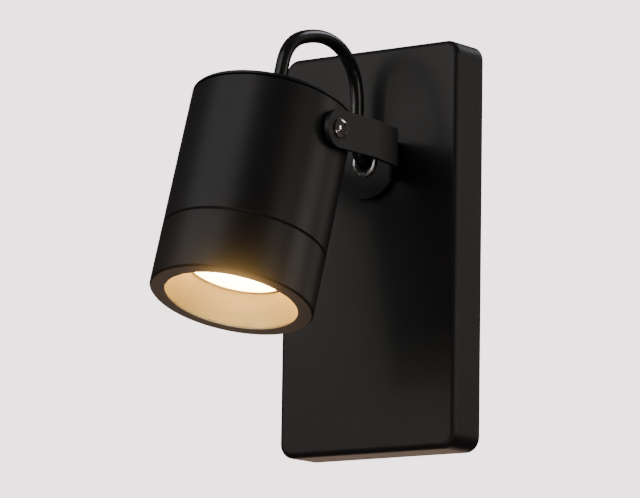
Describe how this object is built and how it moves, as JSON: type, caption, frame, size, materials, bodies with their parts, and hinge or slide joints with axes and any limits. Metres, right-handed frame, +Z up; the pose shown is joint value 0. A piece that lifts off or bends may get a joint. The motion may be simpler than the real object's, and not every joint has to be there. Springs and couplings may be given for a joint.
{
  "type": "pivoting spotlight wall light",
  "caption": "Black wall light: a round spot head tilts between the arms of a yoke that swivels on a flat wall box.",
  "frame": {"origin": "middle of the wall box's back, on the wall", "axes": "+Z up, +X to the right seen from the room, +Y into the wall"},
  "size_m": [0.105, 0.1671, 0.2027],
  "materials": {
    "black_paint": "satin black powder coat on aluminium",
    "black_paint_steel": "satin black powder coat on bent steel",
    "zinc_steel": "bright zinc plate",
    "black_steel": "black oxide, set screws",
    "nylon": "black nylon washers",
    "brass": "plain turned brass",
    "chrome": "bright nickel-chrome plate",
    "black_rubber": "matt black rubber",
    "gold_reflector": "champagne gold anodised aluminium",
    "lamp_shell": "white lamp body",
    "lit_lens": "frosted lamp lens, lit warm white",
    "holder_ceramic": "unglazed steatite",
    "cable_sheath": "smooth glossy black cable sheath",
    "brown_wire": "brown wire insulation",
    "blue_wire": "blue wire insulation",
    "green_wire": "green wire insulation",
    "silicone_wire": "white silicone wire insulation",
    "terminal_plastic": "white terminal block"
  },
  "bodies": {
    "base": {"box_cover": "black_paint", "wall_plate": "zinc_steel", "box_screws": "black_steel", "swivel_washer": "nylon", "hollow_screw": "zinc_steel", "flat_washer": "zinc_steel", "spring_washer": "zinc_steel", "lock_nut": "brass", "ring_nut": "chrome", "cable_bush": "black_rubber", "live_wire": "brown_wire", "neutral_wire": "blue_wire", "earth_wire": "green_wire", "terminal_block": "terminal_plastic", "terminal_screws": "brass", "terminal_fixings": "zinc_steel", "earth_tag": "brass", "earth_screw": "brass"},
    "bracket": {"yoke": "black_paint_steel", "pivot_washers": "nylon", "cable": "cable_sheath"},
    "head": {"head_housing": "black_paint", "rear_cap": "black_paint", "front_bezel": "black_paint", "seam_ring": "black_rubber", "reflector": "gold_reflector", "lamp_body": "lamp_shell", "lamp_lens": "lit_lens", "lamp_pins": "brass", "lamp_holder": "holder_ceramic", "holder_screws": "zinc_steel", "lamp_strap": "zinc_steel", "cable_boot": "black_rubber", "holder_wires": "silicone_wire", "pivot_screws": "chrome", "pivot_nuts": "zinc_steel"}
  },
  "joints": [
    {"name": "yoke_swivel", "type": "hinge", "parent": "base", "child": "bracket", "pos_m": [0, -0.0233, 0.0431], "axis": [0, 1, 0], "range_deg": [-170, 170]},
    {"name": "head_tilt", "type": "hinge", "parent": "bracket", "child": "head", "pos_m": [0, -0.1045, 0.0431], "axis": [1, 0, 0], "range_deg": [-72.8, 27.2], "deforming": ["cable"]}
  ]
}
